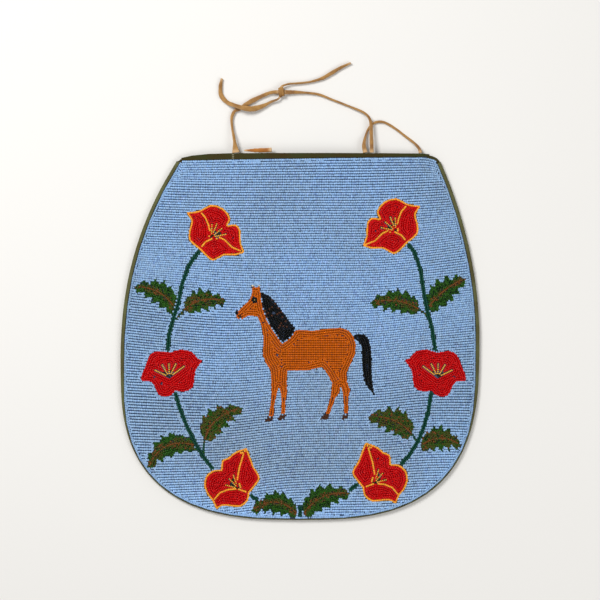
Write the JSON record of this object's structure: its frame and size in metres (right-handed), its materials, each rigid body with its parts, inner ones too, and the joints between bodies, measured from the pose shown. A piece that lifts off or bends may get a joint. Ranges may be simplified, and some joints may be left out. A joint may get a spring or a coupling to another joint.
{
  "type": "beaded fire bag",
  "caption": "Flat rounded beaded bag with a horse between two flowering stems, a bound edge, an open mouth and knotted hide thongs.",
  "frame": {"origin": "middle of the bag's outline, on the surface that its back lies on; the thongs don't count", "axes": "+Z out of the beaded face, +Y towards the mouth, +X to the right as the horse is seen"},
  "size_m": [0.3, 0.3835, 0.0119],
  "materials": {
    "blue_beads": "opaque seed beads",
    "red_beads": "opaque seed beads",
    "yellow_beads": "opaque seed beads",
    "leaf_beads": "opaque seed beads",
    "stem_beads": "opaque seed beads",
    "chestnut_beads": "opaque seed beads",
    "black_beads": "opaque seed beads",
    "hoof_beads": "opaque seed beads",
    "canvas": "plain woven canvas",
    "olive_tape": "ribbed olive tape",
    "back_cloth": "plain cloth",
    "hide": "soft tan hide"
  },
  "bodies": {
    "root": {"back_mouth_band": "olive_tape", "back_panel": "back_cloth", "flower_lower_left_net": "yellow_beads", "flower_lower_left_petal_front": "red_beads", "flower_lower_left_petal_left": "red_beads", "flower_lower_left_petal_right": "red_beads", "flower_lower_right_net": "yellow_beads", "flower_lower_right_petal_front": "red_beads", "flower_lower_right_petal_left": "red_beads", "flower_lower_right_petal_right": "red_beads", "flower_mid_left_petals": "red_beads", "flower_mid_left_stamens": "yellow_beads", "flower_mid_right_petals": "red_beads", "flower_mid_right_stamens": "yellow_beads", "flower_upper_left_net": "yellow_beads", "flower_upper_left_petal_back": "red_beads", "flower_upper_left_petal_front": "red_beads", "flower_upper_left_petal_left": "red_beads", "flower_upper_right_net": "yellow_beads", "flower_upper_right_petal_back": "red_beads", "flower_upper_right_petal_front": "red_beads", "flower_upper_right_petal_left": "red_beads", "front_mouth_band": "olive_tape", "front_panel": "canvas", "ground_beads": "blue_beads", "hoof_front_far": "hoof_beads", "hoof_front_near": "hoof_beads", "hoof_hind_far": "hoof_beads", "hoof_hind_near": "hoof_beads", "horse_body": "chestnut_beads", "horse_mane": "black_beads", "horse_tail": "black_beads", "leaf_foot_left": "leaf_beads", "leaf_foot_right": "leaf_beads", "leaf_lower_left_inner": "leaf_beads", "leaf_lower_left_outer": "leaf_beads", "leaf_lower_right_inner": "leaf_beads", "leaf_lower_right_outer": "leaf_beads", "leaf_upper_left_inner": "leaf_beads", "leaf_upper_left_outer": "leaf_beads", "leaf_upper_right_inner": "leaf_beads", "leaf_upper_right_outer": "leaf_beads", "side_tape": "olive_tape", "stem_end_left": "stem_beads", "stem_end_right": "stem_beads", "stem_foot": "stem_beads", "stem_lower_left": "stem_beads", "stem_lower_right": "stem_beads", "stem_upper_left": "stem_beads", "stem_upper_right": "stem_beads", "thong_brace": "hide", "thong_knot": "hide", "thong_left": "hide", "thong_left_end": "hide", "thong_left_tail": "hide", "thong_right": "hide", "thong_right_tail": "hide"}
  },
  "joints": []
}
